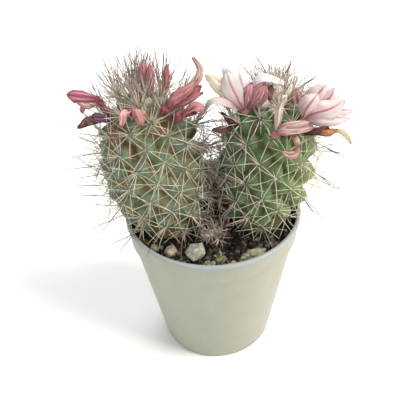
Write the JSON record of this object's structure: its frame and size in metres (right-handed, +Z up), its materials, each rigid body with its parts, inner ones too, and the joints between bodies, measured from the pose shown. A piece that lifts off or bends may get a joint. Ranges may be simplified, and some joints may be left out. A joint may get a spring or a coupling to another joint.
{
  "type": "potted cochemiea fraileana cactus",
  "caption": "Round nursery pot of dark soil and pebbles with a clump of leaning, spiny, tubercled cactus stems and a small offset, carrying open, faded and dried pink flowers on the crowns.",
  "frame": {"origin": "middle of the flat disc under the pot's floor, which is where the pot stands", "axes": "+Z up through the pot, +X to the right and -Y towards the front, where the offset and the largest stones are"},
  "size_m": [0.1014, 0.065, 0.1238],
  "materials": {
    "pot": "pale grey-green moulded plastic, satin, lightly scuffed",
    "soil": "near-black peat and bark mix with fine grit",
    "pale_stone": "pale grey-green pebble, matt",
    "tan_stone": "tan pebble, matt",
    "dark_stone": "dark grey-brown pebble, matt",
    "bark": "reddish-brown bark flake, rough",
    "stem": "waxy blue-green to olive flesh with pale spines",
    "offset_stem": "olive flesh with dense pale spines",
    "open_petal": "white to lilac-pink petal with a darker pink midrib",
    "pink_petal": "faded dusty-pink petal, dry",
    "red_petal": "shrunken magenta-red petal, dry",
    "dried_petal": "peach-brown dried petal",
    "brown_husk": "dark brown dried flower remains",
    "bud": "brownish-rose bud with darker stripes",
    "stamen": "cream filaments with yellow anthers"
  },
  "bodies": {
    "root": {"pot": "pot", "soil": "soil", "stone_large_angular": "pale_stone", "stone_tan": "tan_stone", "stone_long": "pale_stone", "stone_front": "dark_stone", "stone_left_edge": "pale_stone", "stone_small_front": "pale_stone", "stone_small_left": "dark_stone", "stone_small_right": "tan_stone", "stone_right_edge": "dark_stone", "stone_back": "pale_stone", "stone_back_left": "tan_stone", "stone_back_right": "pale_stone", "bark_flake_left": "bark", "bark_flake_right": "bark", "bark_flake_back": "bark", "flower_open_left": "open_petal", "flower_open_left_stamens": "stamen", "flower_open_right": "open_petal", "flower_open_right_stamens": "stamen", "flower_faded_strap": "pink_petal", "flower_faded_hook": "dried_petal", "flower_dried_right": "brown_husk", "flower_withered_upright": "pink_petal", "flower_withered_red": "red_petal", "flower_withered_bell": "pink_petal", "flower_withered_side": "red_petal", "flower_dried_side": "brown_husk", "flower_dried_inner": "brown_husk", "bud_left_tall": "bud", "bud_left_short": "bud", "bud_left_side": "bud", "bud_right_striped": "bud", "bud_right_crown": "bud", "stem_left": "stem", "stem_right": "stem", "stem_offset": "offset_stem"}
  },
  "joints": []
}
